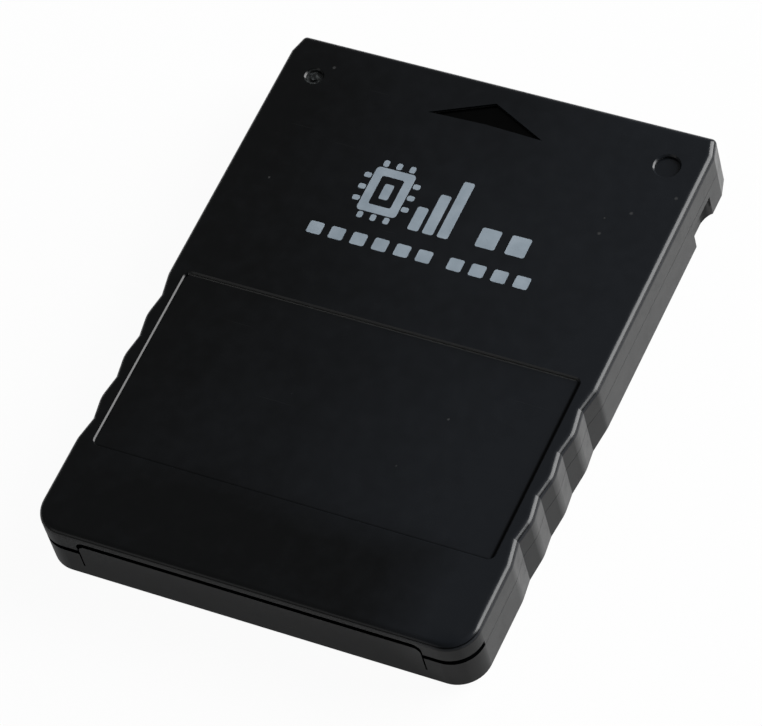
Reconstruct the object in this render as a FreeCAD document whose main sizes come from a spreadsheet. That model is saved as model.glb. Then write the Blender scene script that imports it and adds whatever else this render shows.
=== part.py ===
import FreeCAD, Part
import math
import os
import re

import Sketcher

# A flat cartridge memory card: two moulded case halves, one board with its chips, eight contacts.
# Frame: millimetres, origin under the middle of the card, +Z up through the printed face,
# +Y towards the connector end that goes into the slot, +X to the right.

# Driving sizes in millimetres, each with its own cell of the sheet
SIZES = {
    # The closed card
    "card_width": 42.0,
    "card_length": 56.0,
    "card_height": 7.0,
    "near_corner_round": 2.9,
    "far_corner_round": 0.4,
    "lead_in": 0.55,
    "lead_in_length": 1.9,
    "top_edge_round": 0.65,
    "bottom_chamfer": 1.0,
    # Wavy finger grips on both long sides
    "grip_setback": 28.05,
    "grip_pitch": 4.6,
    "grip_depth": 0.44,
    "grip_valleys": 4,
    "crest_inset": 0.06,
    "crest_round": 3.0,
    # Case walls and the shiplap joint between the halves
    "wall": 1.4,
    "panel": 0.8,
    "floor": 1.2,
    "parting_height": 4.3,
    "parting_gap": 0.04,
    "near_gap": 0.55,
    "lip_thickness": 0.5,
    "lip_height": 1.0,
    "lip_clearance": 0.1,
    # Snap tab in the near wall of the lower half
    "tab_width": 32.8,
    "tab_clearance": 0.1,
    "tab_gap": 0.6,
    "tab_corner_round": 0.7,
    "slit_width": 0.16,
    "slit_bottom": 2.4,
    "hook_spacing": 16.0,
    "hook_width": 3.0,
    "hook_reach": 0.7,
    "hook_bottom": 4.3,
    "hook_height": 0.9,
    "hook_nose": 0.3,
    "hook_clearance": 0.15,
    "catch_width": 24.0,
    "catch_thickness": 1.0,
    "catch_bottom": 3.0,
    # Detent notch in each side wall
    "notch_setback": 4.0,
    "notch_length": 3.8,
    "notch_depth": 1.05,
    "notch_height": 3.5,
    "notch_round": 0.8,
    # Marks on the printed face
    "label_inset": 1.75,
    "label_setback": 27.5,
    "label_length": 19.2,
    "label_depth": 0.25,
    "label_corner_round": 0.6,
    "label_bevel": 0.12,
    "arrow_setback": 2.25,
    "arrow_length": 2.65,
    "arrow_width": 11.3,
    "arrow_bow": 0.2,
    "arrow_depth": 0.3,
    "mark_inset": 3.5,
    "mark_setback": 4.2,
    "mark_diameter": 2.3,
    "gate_mark_diameter": 1.6,
    "mark_depth": 0.35,
    "mark_bevel": 0.14,
    "gate_diameter": 0.7,
    "gate_height": 0.2,
    # Board, its seat and the pins that locate it
    "seat_height": 2.6,
    "board_thickness": 1.0,
    "board_clearance": 0.25,
    "board_near_gap": 3.0,
    "post_spacing": 31.0,
    "post_setback": 8.0,
    "post_diameter": 3.4,
    "rest_spacing": 34.0,
    "rest_setback": 12.5,
    "rest_width": 1.6,
    "rest_length": 6.0,
    "pin_diameter": 1.5,
    "pin_rise": 0.6,
    "pin_clearance": 0.1,
    "bore_depth": 0.9,
    # Connector window and contacts
    "contact_pitch": 3.2,
    "contact_width": 2.0,
    "contact_length": 5.4,
    "contact_thickness": 0.15,
    "contact_corner_cut": 0.4,
    "contact_setback": 0.4,
    "divider_width": 1.0,
    "divider_setback": 0.6,
    "window_depth": 8.0,
    "window_frame": 1.0,
    "front_lip_depth": 2.8,
    "front_lip_clearance": 0.15,
    # Flash memory, leads on its short sides
    "flash_length": 18.4,
    "flash_width": 12.0,
    "flash_height": 1.0,
    "flash_x": 0.0,
    "flash_y": -8.5,
    "flash_leads_per_side": 24,
    # Controller, leads on all four sides
    "controller_length": 7.0,
    "controller_height": 1.4,
    "controller_x": -5.0,
    "controller_y": 9.0,
    "controller_leads_per_side": 12,
    # Gull-wing leads of both chips
    "lead_pitch": 0.5,
    "lead_width": 0.22,
    "lead_thickness": 0.15,
    "lead_reach": 0.8,
    "lead_shoulder": 0.3,
    "chip_standoff": 0.1,
    "chip_bevel": 0.12,
    "chip_mark_size": 1.2,
    "chip_mark_inset": 0.8,
    "chip_mark_depth": 0.05,
    # Regulator
    "regulator_length": 2.9,
    "regulator_width": 1.3,
    "regulator_height": 1.0,
    "regulator_lead_pitch": 0.95,
    "regulator_lead_width": 0.4,
    "regulator_lead_reach": 0.55,
    "regulator_lead_shoulder": 0.25,
    "regulator_x": 10.5,
    "regulator_y": 3.5,
    # Crystal
    "crystal_length": 5.0,
    "crystal_width": 3.2,
    "crystal_height": 0.9,
    "crystal_lid_inset": 0.35,
    "crystal_lid_height": 0.2,
    "crystal_x": 4.5,
    "crystal_y": 10.0,
    # Capacitors and resistors
    "capacitor_length": 2.0,
    "capacitor_width": 1.25,
    "capacitor_height": 0.85,
    "capacitor_cap": 0.45,
    "capacitor_cap_step": 0.03,
    "capacitor_row_inset": 8.85,
    "capacitor_row_y": 7.0,
    "capacitor_row_pitch": 2.6,
    "resistor_length": 1.6,
    "resistor_width": 0.8,
    "resistor_height": 0.45,
    "resistor_cap": 0.3,
    "resistor_cap_step": 0.03,
    "resistor_row_inset": 5.35,
    "resistor_row_y": 3.0,
    "resistor_row_pitch": 1.8,
}

CONTACTS_IN_BAYS = (3, 2, 3)
CAPACITORS = 4
RESISTORS = 4
TOLERANCE = 1e-4

# Levels and edges that several pieces share, worked out from the sizes
RIGHT = "card_width / 2"
FAR_END = "card_length / 2"
NEAR_END = "-card_length / 2"
PANEL_UNDER = "(card_height - panel)"
LOWER_RIM = "(parting_height - parting_gap / 2)"
UPPER_RIM = "(parting_height + parting_gap / 2)"
LIP_TOP = "(parting_height + lip_height)"
TAB_TOP = f"({PANEL_UNDER} - tab_gap)"
BOARD_TOP = "(seat_height + board_thickness)"
CONTACT_COUNT = sum(CONTACTS_IN_BAYS)
WINDOW_HALF = f"(({CONTACT_COUNT} * contact_pitch + {len(CONTACTS_IN_BAYS) - 1} * divider_width) / 2)"
WINDOW_REAR = f"({FAR_END} - window_depth)"
BOARD_SIDE = f"({RIGHT} - wall - board_clearance)"
BOARD_FAR = f"({FAR_END} - wall - board_clearance)"
BOARD_NEAR = f"({NEAR_END} + board_near_gap)"
POSTS = [(f"{side} * post_spacing / 2", f"{NEAR_END} + post_setback") for side in (-1, 1)]

doc = FreeCAD.newDocument("memory_card")
sheet = doc.addObject("Spreadsheet::Sheet", "Sizes")
for row, (alias, value) in enumerate(SIZES.items(), start=1):
    sheet.set(f"A{row}", alias)
    sheet.set(f"B{row}", str(value))
    sheet.setAlias(f"B{row}", alias)
doc.recompute()
subparts = []


# Sizes, sketches and features

def cells(text):
    """The text with each named size turned into a reference to its cell."""
    def cell(match):
        word = match.group()
        return f"Sizes.{word}" if word in SIZES else word
    return re.sub(r"[a-z_]+", cell, str(text))


def number(text):
    """What an expression of named sizes comes to."""
    return float(sheet.evalExpression(cells(text)))


def new_body(label):
    body = doc.addObject("PartDesign::Body", label)
    body.Label = label
    subparts.append(body)
    return body


def origin_feature(body, role):
    return next(item for item in body.Origin.OriginFeatures if item.Role == role)


def new_sketch(body, name, offset="0", plane="XY_Plane"):
    """A sketch on an origin plane, moved along that plane's normal by the offset."""
    sketch = body.newObject("Sketcher::SketchObject", f"{body.Label}_{name}")
    sketch.AttachmentSupport = [(origin_feature(body, plane), "")]
    sketch.MapMode = "FlatFace"
    sketch.setExpression("AttachmentOffset.Base.z", cells(offset))
    return sketch


def bind(sketch, dimensions):
    """Add the dimensions, each a kind, what it measures and the sizes that drive it."""
    drawn = [Sketcher.Constraint(kind, *ends, number(text)) for kind, ends, text in dimensions]
    indices = sketch.addConstraint(drawn)
    for index, (_, _, text) in zip(indices, dimensions):
        sketch.setExpression(f"Constraints[{index}]", cells(text))


def heading(start, end):
    """Unit direction between two corners of a square outline."""
    step = [number(b) - number(a) for a, b in zip(start[:2], end[:2])]
    return [0 if abs(part) < TOLERANCE else math.copysign(1, part) for part in step]


def rounded_ends(corners):
    """The ends of an outline's edges; a third value rounds a square corner by that radius."""
    ends = []
    for index, corner in enumerate(corners):
        if len(corner) == 2:
            ends.append((*corner, None))
            continue
        x, y, radius = corner
        before = heading(corners[index - 1], corner)
        after = heading(corner, corners[(index + 1) % len(corners)])
        ends.append((f"{x} - {before[0]} * {radius}", f"{y} - {before[1]} * {radius}", radius))
        ends.append((f"{x} + {after[0]} * {radius}", f"{y} + {after[1]} * {radius}", None))
    return ends


def quarter_arc(start, end, radius):
    """The convex quarter circle of an anticlockwise outline from start to end."""
    middle = (start + end) / 2
    chord = end - start
    left = FreeCAD.Vector(-chord.y, chord.x, 0) / 2
    centre = middle + left
    first = math.atan2(start.y - centre.y, start.x - centre.x)
    circle = Part.Circle(centre, FreeCAD.Vector(0, 0, 1), radius)
    return Part.ArcOfCircle(circle, first, first + math.pi / 2)


def draw_outline(sketch, corners):
    """Close an anticlockwise outline through the corners and bind each end to its sizes."""
    ends = rounded_ends(corners)
    spots = [FreeCAD.Vector(number(x), number(y), 0) for x, y, _ in ends]
    first = sketch.GeometryCount
    count = len(ends)
    for index, (_, _, radius) in enumerate(ends):
        start, end = spots[index], spots[(index + 1) % count]
        edge = quarter_arc(start, end, number(radius)) if radius else Part.LineSegment(start, end)
        sketch.addGeometry(edge, False)
    sketch.addConstraint([
        Sketcher.Constraint("Coincident", first + index, 2, first + (index + 1) % count, 1)
        for index in range(count)
    ])
    dimensions = []
    for index, (x, y, radius) in enumerate(ends, start=first):
        dimensions.append(("DistanceX", (-1, 1, index, 1), x))
        dimensions.append(("DistanceY", (-1, 1, index, 1), y))
        if radius:
            dimensions.append(("Radius", (index,), radius))
    bind(sketch, dimensions)


def draw_rectangle(sketch, left, right, near, far, radius=None):
    corner = (radius,) if radius else ()
    draw_outline(sketch, [(x, y, *corner) for x, y in (
        (left, near), (right, near), (right, far), (left, far))])


def draw_centred(sketch, length, width):
    draw_rectangle(sketch, f"-{length} / 2", f"{length} / 2", f"-{width} / 2", f"{width} / 2")


def draw_circle(sketch, x, y, diameter):
    centre = FreeCAD.Vector(number(x), number(y), 0)
    circle = Part.Circle(centre, FreeCAD.Vector(0, 0, 1), number(diameter) / 2)
    index = sketch.addGeometry(circle, False)
    bind(sketch, [
        ("DistanceX", (-1, 1, index, 3), x),
        ("DistanceY", (-1, 1, index, 3), y),
        ("Diameter", (index,), diameter),
    ])


def volume_of(body):
    doc.recompute()
    return body.Shape.Volume if body.Tip else 0.0


def extrude(body, kind, sketch, length, back=False, both_ways=False):
    """A pad or a pocket of the sketch that has to add or remove something."""
    before = volume_of(body)
    feature = body.newObject(f"PartDesign::{kind}", f"{sketch.Name}_{kind.lower()}")
    feature.Profile = sketch
    feature.setExpression("Length", cells(length))
    feature.Reversed = back
    if both_ways:
        feature.SideType = "Symmetric"
    change = volume_of(body) - before
    if change * (1 if kind == "Pad" else -1) <= 0:
        raise RuntimeError(f"{feature.Name} changed the volume by {change}")
    return feature


def pad(body, sketch, length, **options):
    return extrude(body, "Pad", sketch, length, **options)


def pocket(body, sketch, length, **options):
    return extrude(body, "Pocket", sketch, length, **options)


def mirror(body, feature):
    """The same feature on the other side of the middle plane."""
    copy = body.newObject("PartDesign::Mirrored", f"{feature.Name}_mirror")
    copy.Originals = [feature]
    copy.MirrorPlane = (origin_feature(body, "YZ_Plane"), [""])
    body.Tip = copy
    doc.recompute()
    return copy


def dress(body, kind, name, edges, size_property, size):
    """A fillet or a chamfer on named edges of the body as it stands."""
    if not edges:
        raise RuntimeError(f"no edges for {body.Label} {name}")
    base = body.Tip
    feature = body.newObject(f"PartDesign::{kind}", f"{body.Label}_{name}")
    feature.Base = (base, edges)
    feature.setExpression(size_property, cells(size))
    doc.recompute()
    return feature


def round_edges(body, name, edges, radius):
    return dress(body, "Fillet", name, edges, "Radius", radius)


def bevel_edges(body, name, edges, size):
    return dress(body, "Chamfer", name, edges, "Size", size)


def upright_edges(body, spots, sloping=False):
    """Names of the edges that stand at plan positions and, if asked, that slope away from them."""
    places = [(number(x), number(y)) for x, y in spots]
    names = []
    for index, edge in enumerate(body.Shape.Edges, start=1):
        ends = [vertex.Point for vertex in edge.Vertexes]
        if len(ends) != 2 or abs(ends[0].z - ends[1].z) < TOLERANCE:
            continue
        placed = [
            any(math.hypot(end.x - x, end.y - y) < TOLERANCE for x, y in places) for end in ends]
        if all(placed) or sloping and any(placed):
            names.append(f"Edge{index}")
    return names


def level_edges(body, height, window=None):
    """Names of the edges that lie at one height, inside a left, right, near and far limit if given."""
    level = number(height)
    left, right, near, far = window or (f"-{RIGHT}", RIGHT, NEAR_END, FAR_END)
    limits = FreeCAD.BoundBox(
        number(left), number(near), level, number(right), number(far), level)
    limits.enlarge(TOLERANCE)
    return [
        f"Edge{index}" for index, edge in enumerate(body.Shape.Edges, start=1)
        if limits.isInside(edge.BoundBox)
    ]


def place(body, x, y, z):
    for axis, text in zip("xyz", (x, y, z)):
        body.setExpression(f"Placement.Base.{axis}", cells(text))


# Plan outlines that both case halves share

def grip_corners():
    """Corners of the right grip from near to far, split into valleys, crests and the two ends."""
    valleys, crests = [], []
    count = SIZES["grip_valleys"]
    for index in range(count):
        y = f"{FAR_END} - grip_setback - grip_pitch * {index + 0.5}"
        valleys.insert(0, (f"{RIGHT} - grip_depth", y))
        if index:
            y = f"{FAR_END} - grip_setback - grip_pitch * {index}"
            crests.insert(0, (f"{RIGHT} - crest_inset", y))
    ends = [(RIGHT, f"{FAR_END} - grip_setback - grip_pitch * {n}") for n in (count, 0)]
    return valleys, crests, ends


def left_of(spots):
    return [(f"-({x})", y) for x, y in spots]


def add_card_block(body, bottom, top, bottom_bevel=None):
    """The outer block of a case half: rounded in plan, bevelled below if asked, with its grips."""
    sketch = new_sketch(body, "outline", bottom)
    shoulders = [(RIGHT, f"{FAR_END} - lead_in_length")]
    far_corners = [(f"{RIGHT} - lead_in", FAR_END)]
    near_corners = [(RIGHT, NEAR_END)]
    right = near_corners + shoulders + far_corners
    draw_outline(sketch, right + left_of(reversed(right)))
    pad(body, sketch, f"{top} - {bottom}")
    spots = near_corners + left_of(near_corners)
    round_edges(body, "near_corner_rounds", upright_edges(body, spots), "near_corner_round")
    if bottom_bevel:
        bevel_edges(body, "bottom_chamfer", level_edges(body, bottom), bottom_bevel)
    spots = far_corners + left_of(far_corners)
    edges = upright_edges(body, spots, sloping=True)
    round_edges(body, "far_corner_rounds", edges, "far_corner_round")
    add_grips(body, bottom, top)


def add_grips(body, bottom, top):
    """Sharp valleys cut down both long sides, with the crests between them rounded."""
    valleys, crests, ends = grip_corners()
    wave = [ends[0]]
    for valley, crest in zip(valleys, crests + [ends[1]]):
        wave += [valley, crest]
    beyond = [(f"{RIGHT} + wall", y) for _, y in ends]
    sketch = new_sketch(body, "grip", bottom)
    draw_outline(sketch, beyond + wave[::-1])
    mirror(body, pocket(body, sketch, f"{top} - {bottom}", back=True))
    spots = crests + ends
    round_edges(body, "crest_rounds", upright_edges(body, spots + left_of(spots)), "crest_round")


def inner_outline(inset):
    """The card's outline moved inwards, stepping in past the detent notches."""
    side = f"({RIGHT} - ({inset}))"
    stepped = f"({RIGHT} - notch_depth - ({inset}))"
    near = f"({NEAR_END} + {inset})"
    far = f"({FAR_END} - ({inset}))"
    step = f"({FAR_END} - notch_setback - notch_length - ({inset}))"
    corner = f"(near_corner_round - ({inset}))"
    return [
        (f"-{side}", near, corner), (side, near, corner), (side, step), (stepped, step),
        (stepped, far), (f"-{stepped}", far), (f"-{stepped}", step), (f"-{side}", step),
    ]


def draw_rests(sketch):
    """Plan of the straight ribs that meet the board further forward than the posts."""
    far = f"({FAR_END} - rest_setback)"
    for side in (-1, 1):
        x = f"{side} * rest_spacing / 2"
        draw_rectangle(
            sketch, f"{x} - rest_width / 2", f"{x} + rest_width / 2", f"{far} - rest_length", far)


# Upper half of the case

def make_top_shell():
    body = new_body("top_shell")
    add_card_block(body, UPPER_RIM, "card_height")
    round_edges(body, "top_edge_round", level_edges(body, "card_height"), "top_edge_round")

    cavity = new_sketch(body, "cavity", UPPER_RIM)
    draw_outline(cavity, inner_outline("wall"))
    pocket(body, cavity, f"{PANEL_UNDER} - {UPPER_RIM}", back=True)

    rebate = new_sketch(body, "rebate", UPPER_RIM)
    draw_outline(rebate, inner_outline("wall - lip_thickness - lip_clearance"))
    pocket(body, rebate, f"{LIP_TOP} - {UPPER_RIM}", back=True)

    groove = new_sketch(body, "near_groove", UPPER_RIM)
    side = f"({RIGHT} + wall)"
    draw_rectangle(groove, f"-{side}", side, f"{NEAR_END} - wall", f"{NEAR_END} + near_corner_round")
    pocket(body, groove, "near_gap", back=True)

    add_tab_seat(body)
    add_front_lip(body)
    add_clamp_posts(body)
    add_face_marks(body)


def add_tab_seat(body):
    """The gap in the near wall that takes the snap tab, and the slotted catch behind it."""
    gap = new_sketch(body, "tab_gap", FAR_END, "XZ_Plane")
    half = "(tab_width / 2 + slit_width)"
    corner = "(tab_corner_round + slit_width)"
    draw_outline(gap, [
        (f"-{half}", LOWER_RIM), (half, LOWER_RIM),
        (half, PANEL_UNDER, corner), (f"-{half}", PANEL_UNDER, corner),
    ])
    pocket(body, gap, "wall + tab_clearance")

    face = f"({NEAR_END} + wall + tab_clearance)"
    catch = new_sketch(body, "catch", "catch_bottom")
    draw_rectangle(catch, "-catch_width / 2", "catch_width / 2", face, f"{face} + catch_thickness")
    pad(body, catch, f"{PANEL_UNDER} - catch_bottom")

    slot = new_sketch(body, "catch_slot", f"-({face})", "XZ_Plane")
    reach = "(hook_width / 2 + hook_clearance)"
    draw_rectangle(
        slot, f"hook_spacing / 2 - {reach}", f"hook_spacing / 2 + {reach}",
        "hook_bottom - hook_clearance", "hook_bottom + hook_height + hook_clearance")
    mirror(body, pocket(body, slot, "catch_thickness"))


def add_front_lip(body):
    """The lip that closes the front above the contacts and presses on the board's front edge."""
    lip = new_sketch(body, "front_lip", BOARD_TOP)
    half = f"({WINDOW_HALF} - front_lip_clearance)"
    draw_rectangle(lip, f"-{half}", half, f"{FAR_END} - front_lip_depth", FAR_END)
    pad(body, lip, f"{PANEL_UNDER} - {BOARD_TOP}")


def add_clamp_posts(body):
    """Posts and ribs that hold the board down; the posts are bored to clear the locating pins."""
    posts = new_sketch(body, "clamp_posts", BOARD_TOP)
    bores = new_sketch(body, "clamp_bores", BOARD_TOP)
    for x, y in POSTS:
        draw_circle(posts, x, y, "post_diameter")
        draw_circle(bores, x, y, "pin_diameter + 2 * pin_clearance")
    draw_rests(posts)
    pad(body, posts, f"{PANEL_UNDER} - {BOARD_TOP}")
    pocket(body, bores, "bore_depth", back=True)


def add_face_marks(body):
    """Label recess, insertion arrow, and the round moulding marks, the left one with its gate."""
    label = new_sketch(body, "label", "card_height")
    side = f"({RIGHT} - label_inset)"
    far = f"({FAR_END} - label_setback)"
    limits = (f"-{side}", side, f"{far} - label_length", far)
    draw_rectangle(label, *limits, "label_corner_round")
    pocket(body, label, "label_depth")
    bevel_edges(body, "label_bevel", level_edges(body, "card_height", limits), "label_bevel")

    marks = new_sketch(body, "marks", "card_height")
    x = f"({RIGHT} - mark_inset)"
    y = f"({FAR_END} - mark_setback)"
    draw_circle(marks, x, y, "mark_diameter")
    draw_circle(marks, f"-{x}", y, "gate_mark_diameter")
    pocket(body, marks, "mark_depth")
    side = f"({x} + mark_diameter / 2)"
    limits = (f"-{side}", side, f"{y} - mark_diameter / 2", f"{y} + mark_diameter / 2")
    bevel_edges(body, "mark_bevel", level_edges(body, "card_height", limits), "mark_bevel")
    gate = new_sketch(body, "gate", "card_height - mark_depth")
    draw_circle(gate, f"-{x}", y, "gate_diameter")
    pad(body, gate, "gate_height")

    arrow = new_sketch(body, "arrow", "card_height")
    tip = f"({FAR_END} - arrow_setback)"
    base = f"({tip} - arrow_length)"
    draw_outline(arrow, [
        ("0", tip), ("-arrow_width / 2", base), ("0", f"{base} + arrow_bow"),
        ("arrow_width / 2", base),
    ])
    pocket(body, arrow, "arrow_depth")


# Lower half of the case

def make_bottom_shell():
    body = new_body("bottom_shell")
    add_card_block(body, "0", LOWER_RIM, "bottom_chamfer")

    lip = new_sketch(body, "lip", LOWER_RIM)
    draw_outline(lip, inner_outline("wall - lip_thickness"))
    pad(body, lip, f"{LIP_TOP} - {LOWER_RIM}")

    tab = new_sketch(body, "tab", FAR_END, "XZ_Plane")
    corner = "tab_corner_round"
    draw_outline(tab, [
        ("-tab_width / 2", "slit_bottom"), ("tab_width / 2", "slit_bottom"),
        ("tab_width / 2", TAB_TOP, corner), ("-tab_width / 2", TAB_TOP, corner),
    ])
    pad(body, tab, "wall", back=True)

    cavity = new_sketch(body, "cavity", "floor")
    draw_outline(cavity, inner_outline("wall"))
    pocket(body, cavity, "card_height", back=True)

    add_connector_window(body)
    add_detent_notches(body)
    add_board_posts(body)
    add_tab_snap(body)


def divider_edges():
    """Left and right edge of each divider between the contact bays."""
    edges = []
    seen = 0
    for index, count in enumerate(CONTACTS_IN_BAYS[:-1]):
        seen += count
        left = f"({seen} * contact_pitch + {index} * divider_width - {WINDOW_HALF})"
        edges.append((left, f"({left} + divider_width)"))
    return edges


def add_connector_window(body):
    """The window in the front and underside, framed up to the board and split into bays."""
    frame = new_sketch(body, "window_frame", "floor")
    half = f"({WINDOW_HALF} + window_frame)"
    draw_rectangle(frame, f"-{half}", half, f"{WINDOW_REAR} - window_frame", f"{FAR_END} - wall")
    pad(body, frame, "seat_height - floor")

    opening = new_sketch(body, "front_opening", "seat_height")
    beyond = f"({FAR_END} + wall)"
    draw_rectangle(opening, f"-{WINDOW_HALF}", WINDOW_HALF, f"{FAR_END} - wall", beyond)
    pocket(body, opening, "card_height", back=True)

    bays = new_sketch(body, "bays", "seat_height")
    divider_front = f"({FAR_END} - divider_setback)"
    comb = [(WINDOW_HALF, beyond), (f"-{WINDOW_HALF}", beyond), (f"-{WINDOW_HALF}", WINDOW_REAR)]
    for left, right in divider_edges():
        comb += [(left, WINDOW_REAR), (left, divider_front)]
        comb += [(right, divider_front), (right, WINDOW_REAR)]
    comb.append((WINDOW_HALF, WINDOW_REAR))
    draw_outline(bays, comb)
    pocket(body, bays, "seat_height")


def add_detent_notches(body):
    """A notch in each side wall, open below, where the slot's springs hold the card."""
    notch = new_sketch(body, "notch", "notch_height")
    inner = f"({RIGHT} - notch_depth)"
    far = f"({FAR_END} - notch_setback)"
    near = f"({far} - notch_length)"
    draw_rectangle(notch, inner, f"{RIGHT} + wall", near, far)
    mirror(body, pocket(body, notch, "notch_height"))
    spots = [(inner, near), (inner, far)]
    round_edges(body, "notch_rounds", upright_edges(body, spots + left_of(spots)), "notch_round")


def add_board_posts(body):
    """Posts and ribs that carry the board, with pins through its holes."""
    posts = new_sketch(body, "posts", "floor")
    pins = new_sketch(body, "pins", "seat_height")
    for x, y in POSTS:
        draw_circle(posts, x, y, "post_diameter")
        draw_circle(pins, x, y, "pin_diameter")
    draw_rests(posts)
    pad(body, posts, "seat_height - floor")
    pad(body, pins, "board_thickness + pin_rise")


def add_tab_snap(body):
    """Slits that free the ends of the snap tab, and the two hooks behind it."""
    slits = new_sketch(body, "slit", "slit_bottom")
    left = "tab_width / 2"
    inner = f"({NEAR_END} + wall)"
    draw_rectangle(slits, left, f"{left} + slit_width", f"{NEAR_END} - wall", inner)
    mirror(body, pocket(body, slits, "card_height", back=True))

    hook = new_sketch(body, "hook", "hook_spacing / 2", "YZ_Plane")
    draw_outline(hook, [
        (inner, "hook_bottom"), (f"{inner} + hook_reach", "hook_bottom"),
        (f"{inner} + hook_reach", "hook_bottom + hook_nose"),
        (inner, "hook_bottom + hook_height"),
    ])
    mirror(body, pad(body, hook, "hook_width", both_ways=True))


# Board and contacts

def make_circuit_board():
    body = new_body("circuit_board")
    stepped = f"({BOARD_SIDE} - notch_depth)"
    step = f"({FAR_END} - notch_setback - notch_length - wall - board_clearance)"
    board = new_sketch(body, "board", "seat_height")
    draw_outline(board, [
        (f"-{BOARD_SIDE}", BOARD_NEAR), (BOARD_SIDE, BOARD_NEAR),
        (BOARD_SIDE, step), (stepped, step), (stepped, BOARD_FAR),
        (f"-{stepped}", BOARD_FAR), (f"-{stepped}", step), (f"-{BOARD_SIDE}", step),
    ])
    pad(body, board, "board_thickness")
    holes = new_sketch(body, "holes", "seat_height")
    for x, y in POSTS:
        draw_circle(holes, x, y, "pin_diameter + 2 * pin_clearance")
    pocket(body, holes, "board_thickness", back=True)


def make_contacts():
    """Gold strips under the board's front edge, one body each, numbered from the left."""
    contact = 0
    for bay, count in enumerate(CONTACTS_IN_BAYS):
        for _ in range(count):
            x = f"(({contact} + 0.5) * contact_pitch + {bay} * divider_width - {WINDOW_HALF})"
            contact += 1
            body = new_body(f"contact_{contact}")
            strip = new_sketch(body, "strip")
            draw_rectangle(strip, "-contact_width / 2", "contact_width / 2", "-contact_length", "0")
            pad(body, strip, "contact_thickness")
            corners = [(f"{side} * contact_width / 2", "-contact_length") for side in (-1, 1)]
            bevel_edges(body, "corner_cuts", upright_edges(body, corners), "contact_corner_cut")
            place(body, x, f"{BOARD_FAR} - contact_setback", "seat_height - contact_thickness")


# Chips

def make_chip(label, length, width, height, x, y):
    """A moulded chip body that stands off the board, with a corner mark at its first lead."""
    body = new_body(label)
    block = new_sketch(body, "block")
    draw_centred(block, length, width)
    pad(body, block, height)
    bevel_edges(body, "bevel", level_edges(body, height), "chip_bevel")
    mark = new_sketch(body, "mark", height)
    left, near = (f"(chip_mark_inset - {size} / 2)" for size in (length, width))
    draw_outline(mark, [
        (left, near), (f"{left} + chip_mark_size", near), (left, f"{near} + chip_mark_size")])
    pocket(body, mark, "chip_mark_depth")
    place(body, x, y, f"{BOARD_TOP} + chip_standoff")


def add_lead(body, chip_length, chip_height, y, width, reach, shoulder, side=1):
    """One gull-wing lead from the chip's right side, or its left, down to the board."""
    start = f"({chip_length} / 2)"
    heel = f"({start} + {shoulder})"
    toe = f"({start} + {reach})"
    exit_height = f"(chip_standoff + {chip_height} / 2)"
    profile = [
        (start, f"{exit_height} - lead_thickness / 2"), (heel, "0"), (toe, "0"),
        (toe, "lead_thickness"), (f"{heel} + lead_thickness / 2", "lead_thickness"),
        (start, f"{exit_height} + lead_thickness / 2"),
    ]
    lead = new_sketch(body, "lead", f"-({y})", "XZ_Plane")
    draw_outline(lead, [(f"{side} * ({x})", z) for x, z in profile])
    return pad(body, lead, width, both_ways=True)


def row_step(body, name, count, pitch):
    """A row along the chip's side."""
    row = body.newObject("PartDesign::LinearPattern", f"{body.Label}_{name}")
    row.Direction = (origin_feature(body, "Y_Axis"), [""])
    row.setExpression("Length", cells(f"({count} - 1) * {pitch}"))
    row.setExpression("Occurrences", cells(count))
    return row


def pattern_leads(body, lead, steps):
    """The lead repeated by the steps, one after another."""
    group = body.newObject("PartDesign::MultiTransform", f"{body.Label}_rows")
    group.Originals = [lead]
    group.Transformations = steps
    body.Tip = group
    doc.recompute()


def make_flash():
    make_chip("flash_chip", "flash_length", "flash_width", "flash_height", "flash_x", "flash_y")
    body = new_body("flash_leads")
    count = "flash_leads_per_side"
    first = f"(-({count} - 1) * lead_pitch / 2)"
    lead = add_lead(
        body, "flash_length", "flash_height", first, "lead_width", "lead_reach", "lead_shoulder")
    sides = body.newObject("PartDesign::Mirrored", "flash_leads_sides")
    sides.MirrorPlane = (origin_feature(body, "YZ_Plane"), [""])
    pattern_leads(body, lead, [row_step(body, "row", count, "lead_pitch"), sides])
    place(body, "flash_x", "flash_y", BOARD_TOP)


def make_controller():
    make_chip(
        "controller_chip", "controller_length", "controller_length", "controller_height",
        "controller_x", "controller_y")
    body = new_body("controller_leads")
    count = "controller_leads_per_side"
    first = f"(-({count} - 1) * lead_pitch / 2)"
    lead = add_lead(
        body, "controller_length", "controller_height", first, "lead_width", "lead_reach",
        "lead_shoulder")
    sides = body.newObject("PartDesign::PolarPattern", "controller_leads_sides")
    sides.Axis = (origin_feature(body, "Z_Axis"), [""])
    sides.Angle = 360
    sides.Occurrences = 4
    pattern_leads(body, lead, [row_step(body, "row", count, "lead_pitch"), sides])
    place(body, "controller_x", "controller_y", BOARD_TOP)


def make_regulator():
    """A small regulator: two leads on its right side and one on its left."""
    body = new_body("voltage_regulator")
    block = new_sketch(body, "block")
    draw_centred(block, "regulator_width", "regulator_length")
    pad(body, block, "regulator_height")
    bevel_edges(body, "bevel", level_edges(body, "regulator_height"), "chip_bevel")
    place(body, "regulator_x", "regulator_y", f"{BOARD_TOP} + chip_standoff")

    body = new_body("regulator_leads")
    for side, y in ((1, "-regulator_lead_pitch"), (1, "regulator_lead_pitch"), (-1, "0")):
        add_lead(
            body, "regulator_width", "regulator_height", y, "regulator_lead_width",
            "regulator_lead_reach", "regulator_lead_shoulder", side)
    place(body, "regulator_x", "regulator_y", BOARD_TOP)


# Parts with two soldered ends

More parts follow.
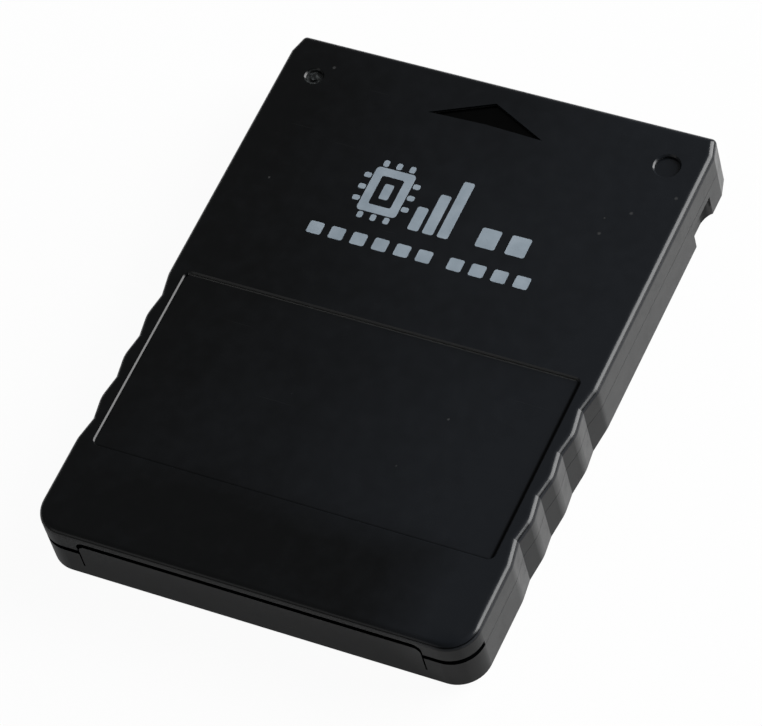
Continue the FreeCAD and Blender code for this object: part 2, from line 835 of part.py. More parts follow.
def make_crystal():
    body = new_body("crystal")
    base = new_sketch(body, "base")
    draw_centred(base, "crystal_length", "crystal_width")
    pad(body, base, "crystal_height")
    lid = new_sketch(body, "lid", "crystal_height")
    draw_centred(
        lid, "(crystal_length - 2 * crystal_lid_inset)", "(crystal_width - 2 * crystal_lid_inset)")
    pad(body, lid, "crystal_lid_height")
    place(body, "crystal_x", "crystal_y", BOARD_TOP)


def make_end_capped(kind, count, x):
    """A row of equal parts, each a ceramic block between two slightly thicker end caps."""
    length, width, height, cap, step = (
        f"{kind}_{word}" for word in ("length", "width", "height", "cap", "cap_step"))
    for index in range(count):
        body = new_body(f"{kind}_{index + 1}")
        block = new_sketch(body, "block", step)
        draw_centred(block, f"({length} - {cap})", f"({width} - 2 * {step})")
        pad(body, block, f"{height} - 2 * {step}")
        caps = new_sketch(body, "caps")
        for inner, outer in ((f"{length} / 2 - {cap}", f"{length} / 2"),
                             (f"-{length} / 2", f"{cap} - {length} / 2")):
            draw_rectangle(caps, inner, outer, f"-{width} / 2", f"{width} / 2")
        pad(body, caps, height)
        place(body, x, f"{kind}_row_y + {index} * {kind}_row_pitch", BOARD_TOP)


make_top_shell()
make_bottom_shell()
make_circuit_board()
make_contacts()
make_flash()
make_controller()
make_regulator()
make_crystal()
make_end_capped("capacitor", CAPACITORS, f"{BOARD_SIDE} - capacitor_row_inset")
make_end_capped("resistor", RESISTORS, f"resistor_row_inset - {BOARD_SIDE}")

doc.recompute()
for item in doc.Objects:
    if {"Invalid", "Error"} & set(item.State):
        raise RuntimeError(f"{item.Name} did not build: {item.State}")
for piece in subparts:
    if piece.Shape.isNull() or not piece.Shape.isValid():
        raise RuntimeError(f"{piece.Label} has no valid shape")
os.makedirs("parts", exist_ok=True)
for piece in subparts:
    piece.Shape.exportStep(f"parts/{piece.Label}.step")
    print(piece.Label, len(piece.Shape.Solids), round(piece.Shape.Volume, 3))
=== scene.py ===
import math

import bmesh
import bpy
from mathutils import Matrix, Vector


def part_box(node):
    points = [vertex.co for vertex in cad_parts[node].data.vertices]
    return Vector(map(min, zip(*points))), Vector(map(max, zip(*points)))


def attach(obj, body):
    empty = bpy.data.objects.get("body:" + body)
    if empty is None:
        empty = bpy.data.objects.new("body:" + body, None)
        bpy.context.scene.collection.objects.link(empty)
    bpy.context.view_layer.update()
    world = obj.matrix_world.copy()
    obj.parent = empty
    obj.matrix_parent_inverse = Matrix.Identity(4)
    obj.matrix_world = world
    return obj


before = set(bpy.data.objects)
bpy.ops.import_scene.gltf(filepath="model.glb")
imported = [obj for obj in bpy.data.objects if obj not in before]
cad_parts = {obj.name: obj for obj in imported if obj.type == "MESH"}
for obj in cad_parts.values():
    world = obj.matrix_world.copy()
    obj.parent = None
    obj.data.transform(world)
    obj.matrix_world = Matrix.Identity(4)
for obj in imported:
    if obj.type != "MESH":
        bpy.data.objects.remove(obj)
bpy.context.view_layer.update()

# The looks of a black memory card: finishes for its pieces, the print on its face, light, floor and camera.
# Lengths are in millimetres and are turned into metres where the scene takes them.
MM = 0.001

# Camera: where it aims, from which side, and how far it is turned about its own line of sight
CAMERA_AIM = (1.7246, -3.2391, 7.0)
CAMERA_AZIMUTH = 39.0965
CAMERA_ELEVATION = 53.6978
CAMERA_ROLL = -17.6792
CAMERA_DISTANCE = 415.71
CAMERA_LENS = 226.427
CAMERA_SENSOR = 36.0

# Studio: softboxes by the direction to them, and how bright a white face turned to them looks
KEY_DIRECTION = (0.70, 0.60, 0.40)
KEY_DISTANCE = 600.0
KEY_SIZE = 560.0
KEY_LEVEL = 2.5
FILL_DIRECTION = (-0.45, -0.80, 0.30)
FILL_DISTANCE = 700.0
FILL_SIZE = 460.0
FILL_LEVEL = 0.06
ROOM_LEVEL = 0.10
ROOM_COLOUR = (0.94, 0.97, 1.0, 1.0)
WHITE = (1.0, 1.0, 1.0, 1.0)
BLACK = (0.0, 0.0, 0.0)
FLOOR_COLOUR = (0.86, 0.86, 0.86)
FLOOR_TONE = (0.98, 1.0)
FLOOR_REACH = 4000.0
FLOOR_DROP = 0.02
# How far floor and room are turned to white, for the camera and then in reflections
FLOOR_WHITENING = (0.955, 0.14)
ROOM_WHITENING = (1.0, 0.08)

# Where most values of a noise lie, and their middle
NOISE_RANGE = (0.3, 0.7)
NOISE_MIDDLE = 0.5

# The case's limits, and what lies below its face; the label is placed from the right side and the far end
CASE_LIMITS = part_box("top_shell")[1] / MM
FACE = CASE_LIMITS.z
ARROW_DEPTH = 0.3
LABEL_DEPTH = 0.25
LABEL_INSET = 1.75
LABEL_SETBACK = 27.5
LABEL_LENGTH = 19.2
LABEL_RIGHT = CASE_LIMITS.x - LABEL_INSET
LABEL_FAR = CASE_LIMITS.y - LABEL_SETBACK
LABEL_NEAR = LABEL_FAR - LABEL_LENGTH
LEVEL_TOLERANCE = 0.02

# Plastic of the case: tones, shine when clean and when dull, and the painted sheen of its face, a grey that
# stands for the light on it
CASE_IOR = 1.38
CASE_BLACK = (0.0012, 0.0014, 0.0016)
PAINTED_SHEEN_GREY = (0.0084, 0.0098, 0.0122)
CASE_SHINE = (0.5, 0.15)
CASE_ROUGHNESS = (0.17, 0.27)
SHEEN_REACH = 18.0
SHEEN_DEPTHS = (0.6, 0.48)
NEAR_STRIP = (-21.5, -17.5)
BRIGHT_SIDE = (10.0, 17.0)
CLOUD_SHEEN = (-0.12, 0.14)
MOTTLE_SHEEN = (-0.06, 0.06)

# Dull walls: the near right corner by its place, and the flanks by how far they face aside and near
DULL_CORNER_X = (16.0, 18.5)
DULL_CORNER_Y = (-26.0, -27.3)
CORNER_DULLNESS = 0.85
FLANK_ASIDE = (0.25, 0.5)
FLANK_NEAR = (-0.04, -0.14)
FLANK_DULLNESS = 0.7

# Painted shade on the label's floor, dark lines by its steps: where they start and where they are full, from
# its right and its near step
RIGHT_STEP_SHADE = (0.42, 0.21)
NEAR_STEP_SHADE = (0.26, 0.0)
# Black for the arrow's floor and for the painted shade by the label's steps
ARROW_AND_SHADE_BLACK = (0.0004, 0.0004, 0.0004)

# Dust and painted light on the label's far step, which faces near: a paler tone that lifts its shaded wall
# and the shadow at its foot; its wall faces up less than its edge does
STEP_REACH = 0.2
STEP_FACING = -0.5
WALL_FACING = 0.3
STEP_FADE = (-5.0, 3.0)
STEP_UNEVENNESS = 12.0
EDGE_DUST_AND_LIGHT = (0.08, 0.2)
FOOT_BAND = (-0.2, -0.12)
FOOT_DUST_AND_LIGHT = 0.45
DUST_AND_LIGHT_GREY = (0.11, 0.11, 0.107)

# Torn plastic in the left moulding mark, pale in patches that are partly painted glints
GATE_MARK = (-17.5, 23.8)
GATE_EDGE = (0.9, 0.72)
TORN_NOISE = (0.42, 0.6)
TORN_PALENESS = (0.15, 1.0)
TORN_AND_GLINT_GREY = (0.055, 0.06, 0.06)

# Hairlines, by the turn of their direction and their amount, and the specks, by their places on the face
HAIRLINES = ((28.0, 0.22), (-61.0, 0.2))
HAIRLINE_STRETCH = (0.11, 7.0, 1.0)
HAIRLINE_SOFTNESS = 0.03
HAIRLINE_SHARE = 0.12
HAIRLINE_ROUGHNESS = 0.08
HAIRLINE_GREY = (0.030, 0.031, 0.033)
DUST_SPECKS = ((19.65, 20.73), (16.47, 18.06), (14.60, 15.22), (-16.1, 25.2))
DUST_EDGE = (0.2, 0.08)
SPECK_SHARE = 0.5
SPECK_GREY = (0.07, 0.07, 0.07)

# The other finishes, whose tones each vary between two; an end cap's length is a share of its piece's length
INK_TONES = ((0.24, 0.29, 0.335), (0.31, 0.365, 0.415))
INK_WORN = (0.09, 0.10, 0.12)
INK_WEAR = (0.66, 0.74)
INK_WEAR_SHARE = 0.5
MASK_TONES = ((0.010, 0.062, 0.026), (0.022, 0.115, 0.048))
MASK_RANGE = (0.3, 0.9)
MASK_ROUGHNESS = (0.25, 0.4)
WEAVE_SCALE = 0.9
WEAVE_SHARE = 0.4
GOLD_TONES = ((0.86, 0.60, 0.23), (0.72, 0.46, 0.15))
GOLD_STAIN = (0.35, 0.7)
RUB_STRETCH = (14.0, 0.5, 1.0)
COMPOUND_TONES = ((0.016, 0.016, 0.017), (0.030, 0.030, 0.032))
LEAD_TONES = ((0.74, 0.74, 0.72), (0.55, 0.55, 0.53))
LID_TONES = ((0.78, 0.75, 0.68), (0.62, 0.59, 0.52))
CAP_TONES = ((0.70, 0.70, 0.68), (0.52, 0.52, 0.50))
CAPACITOR_TONES = ((0.36, 0.24, 0.13), (0.28, 0.18, 0.09))
CAPACITOR_CAP = 0.225
RESISTOR_TONES = ((0.020, 0.020, 0.022), (0.036, 0.036, 0.040))
RESISTOR_CAP = 0.19
BOX_MIDDLE = 0.5

# Print on the face
INK_THICKNESS = 0.012
CORNER_STEPS = 6
PRINT_CORNER = 0.2
CHIP_ICON_CENTRE = (-5.55, 13.75)
CHIP_ICON_SIZE = (3.9, 4.9)
CHIP_ICON_LINE = 0.85
CHIP_ICON_CORE = (0.9, 1.7)
CHIP_ICON_PINS = 3
CHIP_ICON_PIN_PITCH = 1.3
CHIP_ICON_PIN_LENGTH = 0.7
CHIP_ICON_PIN_WIDTH = 0.55
CHIP_ICON_PIN_GAP = 0.12
LEVEL_BARS_CORNER = (-2.1, 10.6)
LEVEL_BAR_WIDTH = 1.05
LEVEL_BAR_PITCH = 1.45
LEVEL_BAR_HEIGHTS = (2.6, 4.4, 6.3)
BLOCKS_CORNER = (4.45, 10.7)
BLOCK_SIZE = (1.9, 2.1)
BLOCK_PITCH = 2.9
BLOCK_COUNT = 2
CELLS_CORNER = (-10.8, 7.65)
CELL_SIZE = (1.4, 1.3)
CELL_PITCH = 2.15
CELL_GROUPS = (6, 4)
CELL_GROUP_GAP = 0.9


# Node graphs

class Graph:
    """Short calls for the nodes of one tree; a socket is fed by another socket or by a constant."""

    def __init__(self, tree):
        self.tree = tree

    def feed(self, socket, value):
        if isinstance(value, bpy.types.NodeSocket):
            self.tree.links.new(value, socket)
        else:
            socket.default_value = value

    def add(self, kind, inputs, **settings):
        node = self.tree.nodes.new(f"ShaderNode{kind}")
        for name, value in settings.items():
            setattr(node, name, value)
        for key, value in inputs.items():
            self.feed(node.inputs[key], value)
        return node

    def place(self):
        """Where a point lies on the part, in millimetres."""
        metres = self.add("TexCoord", {}).outputs["Object"]
        return self.stretch(metres, (1 / MM,) * 3)

    def facing(self, name):
        """How far a point's surface faces along that axis, from -1 to 1."""
        return self.axis(self.add("NewGeometry", {}).outputs["Normal"], name)

    def share(self):
        """Where a point lies in its piece's own box, from 0 to 1."""
        return self.add("TexCoord", {}).outputs["Generated"]

    def stretch(self, vector, scale, turn=0.0):
        inputs = {"Vector": vector, "Scale": scale, "Rotation": (0.0, 0.0, math.radians(turn))}
        return self.add("Mapping", inputs).outputs["Vector"]

    def axis(self, vector, name):
        return self.add("SeparateXYZ", {"Vector": vector}).outputs[name]

    def distance(self, first, second):
        return self.add("VectorMath", {0: first, 1: second}, operation="DISTANCE").outputs["Value"]

    def noise(self, vector, scale, detail=2.0):
        inputs = {"Vector": vector, "Scale": scale, "Detail": detail}
        return self.add("TexNoise", inputs).outputs["Fac"]

    def math(self, operation, value, *others):
        """One operation on a value alone, or on it and each of the others in turn."""
        for other in others or (0.0,):
            value = self.add("Math", {0: value, 1: other}, operation=operation).outputs[0]
        return value

    def remap(self, value, low, high, to_low, to_high):
        """A value carried over from one range to another, and held at that range's ends."""
        inputs = {0: value, 1: low, 2: high, 3: to_low, 4: to_high}
        return self.add("MapRange", inputs).outputs[0]

    def fade(self, value, start, end):
        """0 at the start and before it, 1 at the end and past it."""
        return self.remap(value, start, end, 0.0, 1.0)

    def vary(self, noise, low, high):
        """A value that follows a noise."""
        return self.remap(noise, *NOISE_RANGE, low, high)

    def mix(self, factor, first, second):
        """A blend of two colours; the node's colour sockets come after those for numbers and vectors."""
        node = self.add("Mix", {0: factor}, data_type="RGBA")
        self.feed(node.inputs[6], (*first, 1.0) if isinstance(first, tuple) else first)
        self.feed(node.inputs[7], (*second, 1.0) if isinstance(second, tuple) else second)
        return node.outputs[2]

    def blotches(self, noise, tones):
        """Two tones that follow a noise."""
        return self.mix(self.vary(noise, 0.0, 1.0), *tones)

    def bump(self, height, distance, strength, normal=None):
        inputs = {"Height": height, "Distance": distance * MM, "Strength": strength}
        if normal:
            inputs["Normal"] = normal
        return self.add("Bump", inputs).outputs["Normal"]

    def backdrop(self, lit, to_camera, in_reflections):
        """The lit shader turned towards white for the camera, and a little so in reflections."""
        path = self.add("LightPath", {}).outputs
        mirrored = self.math("ADD", path["Is Glossy Ray"], path["Is Transmission Ray"])
        mirrored = self.math("MULTIPLY", mirrored, in_reflections)
        share = self.math("ADD", self.math("MULTIPLY", path["Is Camera Ray"], to_camera), mirrored)
        white = self.add("Emission", {"Color": WHITE, "Strength": 1.0})
        return self.add("MixShader", {0: share, 1: lit, 2: white.outputs[0]}).outputs[0]


class Finish(Graph):
    """The graph of one material, which ends in its shader."""

    def __init__(self, name, **constants):
        self.material = bpy.data.materials.new(name)
        self.material.use_nodes = True
        super().__init__(self.material.node_tree)
        self.shader = self.tree.nodes["Principled BSDF"]
        for socket, value in constants.items():
            self.feed(self.shader.inputs[socket.replace("_", " ")], value)

    def finish(self, colour, roughness, normal):
        self.feed(self.shader.inputs["Base Color"], colour)
        self.feed(self.shader.inputs["Roughness"], roughness)
        self.feed(self.shader.inputs["Normal"], normal)
        return self.material


# Marks and wear on the case

def scratches(graph, place, turn, amount):
    """Thin hairlines along one direction, 1 on a line and 0 beside it."""
    along = graph.stretch(place, HAIRLINE_STRETCH, turn)
    lines = graph.noise(along, scale=1.0, detail=1.0)
    return graph.fade(lines, 1.0 - amount, 1.0 - amount + HAIRLINE_SOFTNESS)


def specks(graph, place, scale, radius, share):
    """Scattered dots with a soft outer half: that share of the cells of a loose grid holds one."""
    cells = graph.add("TexVoronoi", {"Vector": place, "Scale": scale})
    dot = graph.fade(cells.outputs["Distance"], radius, radius / 2)
    chosen = graph.math("LESS_THAN", graph.axis(cells.outputs["Color"], "X"), share)
    return graph.math("MULTIPLY", dot, chosen)


def dust_specks(graph, place):
    """The single specks on the face, 1 on a speck and 0 beside it."""
    gaps = (graph.distance(place, (*speck, FACE)) for speck in DUST_SPECKS)
    return graph.fade(graph.math("MINIMUM", *gaps), *DUST_EDGE)


def at_depth(graph, place, depth):
    """1 on what lies that far below the face, 0 above and below it."""
    gap = graph.math("ABSOLUTE", graph.math("SUBTRACT", graph.axis(place, "Z"), FACE - depth))
    return graph.math("LESS_THAN", gap, LEVEL_TOLERANCE)


def label_painted_shade(graph, place):
    """Painted shade: the dark line on the label's floor along its right and its near step, where those steps
    shade it.
    """
    from_right = graph.math("SUBTRACT", LABEL_RIGHT, graph.axis(place, "X"))
    from_near = graph.math("SUBTRACT", graph.axis(place, "Y"), LABEL_NEAR)
    lines = graph.math("MAXIMUM", graph.fade(from_right, *RIGHT_STEP_SHADE), graph.fade(from_near, *NEAR_STEP_SHADE))
    return graph.math("MULTIPLY", lines, at_depth(graph, place, LABEL_DEPTH))


def step_dust_and_painted_light(graph, place, mottle):
    """Dust and painted light on the label's far step: a paler tone at its foot and on its wall, where it
    lifts their shade, and, more to the right, on its edge.
    """
    x, y = (graph.axis(place, name) for name in "XY")
    beyond = graph.math("SUBTRACT", y, LABEL_FAR)
    close = graph.math("LESS_THAN", graph.math("ABSOLUTE", beyond), STEP_REACH)
    faces_near = graph.math("LESS_THAN", graph.facing("Y"), STEP_FACING)
    wall = graph.math("LESS_THAN", graph.facing("Z"), WALL_FACING)
    uneven = graph.math("MULTIPLY", graph.math("SUBTRACT", mottle, NOISE_MIDDLE), STEP_UNEVENNESS)
    edge = graph.remap(graph.math("ADD", x, uneven), *STEP_FADE, *EDGE_DUST_AND_LIGHT)
    step = graph.math("MULTIPLY", close, faces_near, graph.math("MAXIMUM", wall, edge))
    # At the foot this is painted light that lifts the step's shadow on the label's floor
    foot = graph.remap(beyond, *FOOT_BAND, 0.0, FOOT_DUST_AND_LIGHT)
    foot = graph.math("MULTIPLY", foot, at_depth(graph, place, LABEL_DEPTH))
    along = graph.math("LESS_THAN", graph.math("ABSOLUTE", x), LABEL_RIGHT)
    return graph.math("MULTIPLY", along, graph.math("MAXIMUM", step, foot))


def torn_gate_with_glints(graph, place):
    """How pale the left moulding mark is, from 0 to 1: torn plastic, and painted glints in its patches."""
    flat = graph.stretch(place, (1.0, 1.0, 0.0))
    inside = graph.fade(graph.distance(flat, (*GATE_MARK, 0.0)), *GATE_EDGE)
    torn = graph.remap(graph.noise(place, scale=2.6), *TORN_NOISE, *TORN_PALENESS)
    return graph.math("MULTIPLY", torn, inside)


def dull_corner(graph, place):
    """How dull the near right corner is."""
    across = graph.fade(graph.axis(place, "X"), *DULL_CORNER_X)
    along = graph.fade(graph.axis(place, "Y"), *DULL_CORNER_Y)
    return graph.math("MULTIPLY", across, along, CORNER_DULLNESS)


def dull_flanks(graph):
    """How dull the walls are that face aside and near: one side of each grip wave, the near corners."""
    aside = graph.fade(graph.math("ABSOLUTE", graph.facing("X")), *FLANK_ASIDE)
    near = graph.fade(graph.facing("Y"), *FLANK_NEAR)
    return graph.math("MULTIPLY", aside, near, FLANK_DULLNESS)


def painted_face_sheen(graph, place, cloud, mottle):
    """Painted sheen: how grey the face is painted where light falls on it, more to the right, less on its
    near strip, and a little uneven.
    """
    x, y, z = (graph.axis(place, name) for name in "XYZ")
    strip = graph.math("MAXIMUM", graph.fade(y, *NEAR_STRIP), graph.fade(x, *BRIGHT_SIDE))
    sheen = graph.math("MULTIPLY", graph.fade(x, -SHEEN_REACH, SHEEN_REACH), strip)
    sheen = graph.math("ADD", sheen, graph.vary(cloud, *CLOUD_SHEEN), graph.vary(mottle, *MOTTLE_SHEEN))
    on_face = graph.fade(graph.math("SUBTRACT", FACE, z), *SHEEN_DEPTHS)
    return graph.math("MULTIPLY", sheen, on_face)


# Finishes

def case_plastic():
    """Near-black satin plastic: painted sheen on the face, a black arrow floor, painted shade lines in the
    label, dull walls, hairlines, grain, dust, and dust with painted light on the label's far step.
    """
    graph = Finish("case_plastic", IOR=CASE_IOR)
    place = graph.place()
    cloud = graph.noise(place, scale=0.09, detail=3.0)
    mottle = graph.noise(place, scale=0.7, detail=4.0)
    grain = graph.noise(place, scale=6.0, detail=3.0)
    hairlines = graph.math("MAXIMUM", *(scratches(graph, place, *line) for line in HAIRLINES))
    scattered = specks(graph, place, scale=0.42, radius=0.06, share=0.1)
    specked = graph.math("MAXIMUM", scattered, dust_specks(graph, place))
    # Dust and painted light: the label's far step painted paler where it lies in shade
    dust_and_painted_light = step_dust_and_painted_light(graph, place, mottle)
    # Black: the arrow's floor, and painted shade along the label's right and near steps
    arrow_and_painted_shade = graph.math("MAXIMUM", at_depth(graph, place, ARROW_DEPTH), label_painted_shade(graph, place))
    layers = (
        (graph.math("MULTIPLY", hairlines, HAIRLINE_SHARE), HAIRLINE_GREY),
        (graph.math("MULTIPLY", specked, SPECK_SHARE), SPECK_GREY),
        (dust_and_painted_light, DUST_AND_LIGHT_GREY),
        (torn_gate_with_glints(graph, place), TORN_AND_GLINT_GREY),
        (arrow_and_painted_shade, ARROW_AND_SHADE_BLACK),
    )
    # The face's colour: black with a painted sheen of grey, lighter where the light falls
    colour = graph.mix(painted_face_sheen(graph, place, cloud, mottle), CASE_BLACK, PAINTED_SHEEN_GREY)
    for share, tone in layers:
        colour = graph.mix(share, colour, tone)
    dull = graph.math("MAXIMUM", arrow_and_painted_shade, dust_and_painted_light, dull_corner(graph, place), dull_flanks(graph))
    graph.feed(graph.shader.inputs["Specular IOR Level"], graph.remap(dull, 0.0, 1.0, *CASE_SHINE))
    roughness = graph.vary(mottle, *CASE_ROUGHNESS)
    roughness = graph.math("ADD", roughness, graph.math("MULTIPLY", hairlines, HAIRLINE_ROUGHNESS))
    normal = graph.bump(grain, distance=0.02, strength=0.15)
    normal = graph.bump(cloud, distance=0.5, strength=0.08, normal=normal)
    return graph.finish(colour, roughness, normal)


def print_ink():
    """Pale blue-grey ink, a little uneven, with pinholes that show the plastic."""
    graph = Finish("print_ink")
    place = graph.place()
    uneven = graph.noise(place, scale=0.5, detail=3.0)
    fine = graph.noise(place, scale=9.0)
    worn = graph.remap(fine, *INK_WEAR, 0.0, INK_WEAR_SHARE)
    colour = graph.mix(worn, graph.blotches(uneven, INK_TONES), INK_WORN)
    roughness = graph.vary(fine, low=0.42, high=0.6)
    return graph.finish(colour, roughness, graph.bump(fine, distance=0.01, strength=0.3))


def solder_mask():
    """Green lacquer over glass cloth: a faint weave and a cloudy tone."""
    graph = Finish("solder_mask", Coat_Weight=0.3)
    place = graph.place()
    waves = {"Vector": place, "Scale": WEAVE_SCALE}
    weave = graph.math("MULTIPLY", *(
        graph.add("TexWave", waves, bands_direction=name).outputs["Fac"] for name in "XY"))
    cloud = graph.noise(place, scale=0.3, detail=3.0)
    tone = graph.math("ADD", graph.math("MULTIPLY", weave, WEAVE_SHARE), cloud)
    colour = graph.mix(graph.fade(tone, *MASK_RANGE), *MASK_TONES)
    roughness = graph.remap(tone, *MASK_RANGE, *MASK_ROUGHNESS)
    return graph.finish(colour, roughness, graph.bump(weave, distance=0.03, strength=0.25))


def gold_plate():
    """Gold plating rubbed along the contact by the slot's springs."""
    graph = Finish("gold_plate", Metallic=1.0)
    place = graph.place()
    rubbed = graph.noise(graph.stretch(place, RUB_STRETCH), scale=1.0)
    stain = graph.noise(place, scale=0.8, detail=3.0)
    colour = graph.mix(graph.fade(stain, *GOLD_STAIN), *GOLD_TONES)
    roughness = graph.vary(rubbed, low=0.18, high=0.4)
    return graph.finish(colour, roughness, graph.bump(rubbed, distance=0.01, strength=0.3))


def moulding_compound():
    """Matt dark grey chip body with a sandy grain."""
    graph = Finish("moulding_compound")
    place = graph.place()
    sand = graph.noise(place, scale=14.0, detail=3.0)
    cloud = graph.noise(place, scale=0.5)
    roughness = graph.vary(sand, low=0.55, high=0.8)
    normal = graph.bump(sand, distance=0.02, strength=0.5)
    return graph.finish(graph.blotches(cloud, COMPOUND_TONES), roughness, normal)


def tinned_metal(name, tones):
    """Dull plated metal with a blotchy tone."""
    graph = Finish(name, Metallic=1.0)
    blotch = graph.noise(graph.place(), scale=2.5, detail=3.0)
    roughness = graph.vary(blotch, low=0.25, high=0.45)
    normal = graph.bump(blotch, distance=0.01, strength=0.2)
    return graph.finish(graph.blotches(blotch, tones), roughness, normal)


def end_capped(name, tones, cap_share):
    """Fired ceramic between two tinned ends, which take that share of the length each."""
    graph = Finish(name)
    fine = graph.noise(graph.place(), scale=6.0, detail=3.0)
    offset = graph.math("ABSOLUTE", graph.math("SUBTRACT", graph.axis(graph.share(), "X"), BOX_MIDDLE))
    capped = graph.math("GREATER_THAN", offset, BOX_MIDDLE - cap_share)
    colour = graph.mix(capped, graph.blotches(fine, tones), graph.blotches(fine, CAP_TONES))
    graph.feed(graph.shader.inputs["Metallic"], capped)
    roughness = graph.vary(fine, low=0.3, high=0.55)
    return graph.finish(colour, roughness, graph.bump(fine, distance=0.01, strength=0.25))


def dress_nodes():
    """Give every carried-over piece its finish, by the material slot it has in the record."""
    finishes = {
        "case": case_plastic(),
        "board": solder_mask(),
        "contact": gold_plate(),
        "chip": moulding_compound(),
        "lead": tinned_metal("tinned_lead", LEAD_TONES),
        "crystal": tinned_metal("crystal_lid", LID_TONES),
        "capacitor": end_capped("capacitor_ceramic", CAPACITOR_TONES, CAPACITOR_CAP),
        "resistor": end_capped("resistor_ceramic", RESISTOR_TONES, RESISTOR_CAP),
    }
    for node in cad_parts.values():
        for slot in node.material_slots:
            slot.material = finishes[slot.material.name]


# Print on the face

def rounded_rectangle(left, near, width, length, radius):
    """Corner points of a rectangle with round corners, anticlockwise."""
    points = []
    corners = (
        (left + width - radius, near + radius), (left + width - radius, near + length - radius),
        (left + radius, near + length - radius), (left + radius, near + radius))
    for quarter, (x, y) in enumerate(corners):
        for step in range(CORNER_STEPS + 1):
            angle = math.radians(90.0 * (quarter - 1 + step / CORNER_STEPS))
            points.append((x + radius * math.cos(angle), y + radius * math.sin(angle)))
    return points


class InkSheet:
    """A thin layer of ink on the face, gathered shape by shape into one mesh."""

    def __init__(self, name, level):
        self.name = name
        self.mesh = bmesh.new()
        self.levels = (level, level + INK_THICKNESS)

    def loops(self, outline):
        return [[self.mesh.verts.new(Vector((x, y, z)) * MM) for x, y in outline] for z in self.levels]

    def wall(self, low, high):
        for index in range(len(low)):
            self.mesh.faces.new((low[index - 1], low[index], high[index], high[index - 1]))

    def add_field(self, *rectangle):
        low, high = self.loops(rounded_rectangle(*rectangle, PRINT_CORNER))
        self.mesh.faces.new(high)
        self.mesh.faces.new(low[::-1])
        self.wall(low, high)

    def add_frame(self, left, near, width, length, line):
        low, high = self.loops(rounded_rectangle(left, near, width, length, 2 * PRINT_CORNER))
        low_in, high_in = self.loops(rounded_rectangle(
            left + line, near + line, width - 2 * line, length - 2 * line, PRINT_CORNER))
        self.wall(low, high)
        self.wall(low_in[::-1], high_in[::-1])
        self.wall(high, high_in)
        self.wall(low_in, low)

    def done(self, material):
        data = bpy.data.meshes.new(self.name)
        self.mesh.to_mesh(data)
        self.mesh.free()
        data.materials.append(material)
        piece = bpy.data.objects.new(self.name, data)
        bpy.context.scene.collection.objects.link(piece)
        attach(piece, "root")


def pin_starts(breadth):
    """Where the pins on two opposite sides of the chip begin, from its middle."""
    inner = breadth / 2 + CHIP_ICON_PIN_GAP
    return -inner - CHIP_ICON_PIN_LENGTH, inner


def add_chip_icon(sheet):
    """A chip seen from above: frame, core and pins on all four sides."""
    x, y = CHIP_ICON_CENTRE
    width, length = CHIP_ICON_SIZE
    core_width, core_length = CHIP_ICON_CORE
    sheet.add_frame(x - width / 2, y - length / 2, width, length, CHIP_ICON_LINE)
    sheet.add_field(x - core_width / 2, y - core_length / 2, core_width, core_length)
    for index in range(CHIP_ICON_PINS):
        shift = (index - (CHIP_ICON_PINS - 1) / 2) * CHIP_ICON_PIN_PITCH - CHIP_ICON_PIN_WIDTH / 2
        for start in pin_starts(width):
            sheet.add_field(x + start, y + shift, CHIP_ICON_PIN_LENGTH, CHIP_ICON_PIN_WIDTH)
        for start in pin_starts(length):
            sheet.add_field(x + shift, y + start, CHIP_ICON_PIN_WIDTH, CHIP_ICON_PIN_LENGTH)


def make_print():
    """The generic print: a chip, rising bars and two blocks over a row of small cells."""
    sheet = InkSheet("face_print", FACE)
    add_chip_icon(sheet)
    left, near = LEVEL_BARS_CORNER
    for index, height in enumerate(LEVEL_BAR_HEIGHTS):
        sheet.add_field(left + index * LEVEL_BAR_PITCH, near, LEVEL_BAR_WIDTH, height)
    left, near = BLOCKS_CORNER
    for index in range(BLOCK_COUNT):
        sheet.add_field(left + index * BLOCK_PITCH, near, *BLOCK_SIZE)
    left, near = CELLS_CORNER
    for count in CELL_GROUPS:
        for _ in range(count):
            sheet.add_field(left, near, *CELL_SIZE)
            left += CELL_PITCH
        left += CELL_GROUP_GAP
    sheet.done(print_ink())


# Studio and camera

def make_floor():
    """Pale floor that looks near-white to the camera and keeps a soft shadow."""
    data = bpy.data.meshes.new("floor")
    reach = FLOOR_REACH * MM
    level = -FLOOR_DROP * MM
    corners = [(x * reach, y * reach, level) for x, y in ((-1, -1), (1, -1), (1, 1), (-1, 1))]
    data.from_pydata(corners, [], [(0, 1, 2, 3)])
    graph = Finish("pale_floor", Roughness=0.9, Specular_IOR_Level=0.0)
    tone = graph.vary(graph.noise(graph.place(), scale=0.02), *FLOOR_TONE)
    graph.feed(graph.shader.inputs["Base Color"], graph.mix(tone, BLACK, FLOOR_COLOUR))
    shown = graph.backdrop(graph.shader.outputs[0], *FLOOR_WHITENING)
    clear = graph.add("BsdfTransparent", {}).outputs[0]
    below = graph.add("NewGeometry", {}).outputs["Backfacing"]
    both = graph.add("MixShader", {0: below, 1: shown, 2: clear})
    graph.feed(graph.tree.nodes["Material Output"].inputs["Surface"], both.outputs[0])
    data.materials.append(graph.material)
    floor = bpy.data.objects.new("floor", data)
    bpy.context.scene.collection.objects.link(floor)


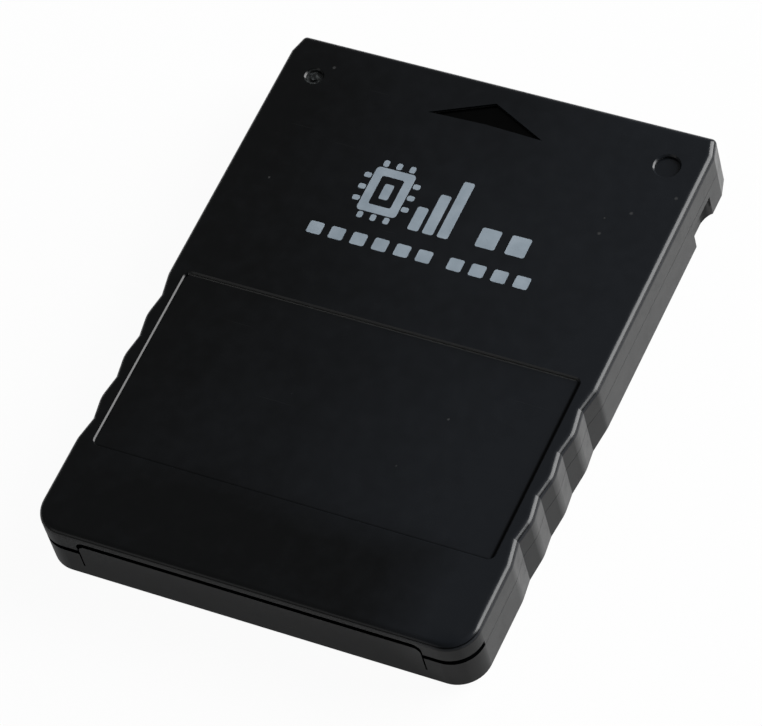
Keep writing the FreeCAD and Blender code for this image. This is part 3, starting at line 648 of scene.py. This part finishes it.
def add_softbox(name, direction, distance, size, level):
    """A square lamp turned to the card; a white face turned to it looks as bright as the level."""
    lamp = bpy.data.lights.new(name, "AREA")
    lamp.size = size * MM
    lamp.energy = level * (math.pi * distance * MM) ** 2
    box = bpy.data.objects.new(name, lamp)
    towards = Vector(direction).normalized()
    box.location = towards * distance * MM
    box.rotation_euler = towards.to_track_quat("Z", "Y").to_euler()
    bpy.context.scene.collection.objects.link(box)


def make_room():
    """Dim room light; the camera sees it white past the floor's edge."""
    world = bpy.data.worlds.new("room")
    world.use_nodes = True
    graph = Graph(world.node_tree)
    dim = graph.tree.nodes["Background"]
    graph.feed(dim.inputs["Color"], ROOM_COLOUR)
    graph.feed(dim.inputs["Strength"], ROOM_LEVEL)
    shown = graph.backdrop(dim.outputs[0], *ROOM_WHITENING)
    graph.feed(graph.tree.nodes["World Output"].inputs["Surface"], shown)
    bpy.context.scene.world = world


def make_camera():
    """The camera, turned about its aim and then moved back from it."""
    data = bpy.data.cameras.new("camera")
    data.sensor_fit = "HORIZONTAL"
    data.sensor_width = CAMERA_SENSOR
    data.lens = CAMERA_LENS
    camera = bpy.data.objects.new("camera", data)
    azimuth, elevation, roll = (
        math.radians(angle) for angle in (CAMERA_AZIMUTH, CAMERA_ELEVATION, CAMERA_ROLL))
    turn = (
        Matrix.Rotation(azimuth, 4, "Z")
        @ Matrix.Rotation(math.pi / 2 - elevation, 4, "X")
        @ Matrix.Rotation(roll, 4, "Z"))
    back = turn @ Vector((0.0, 0.0, CAMERA_DISTANCE))
    camera.matrix_world = Matrix.Translation((Vector(CAMERA_AIM) + back) * MM) @ turn
    bpy.context.scene.collection.objects.link(camera)
    bpy.context.scene.camera = camera


dress_nodes()
make_print()
make_floor()
add_softbox("key", KEY_DIRECTION, KEY_DISTANCE, KEY_SIZE, KEY_LEVEL)
add_softbox("fill", FILL_DIRECTION, FILL_DISTANCE, FILL_SIZE, FILL_LEVEL)
make_room()
make_camera()
bpy.context.scene.view_settings.view_transform = "Standard"
bpy.context.view_layer.update()
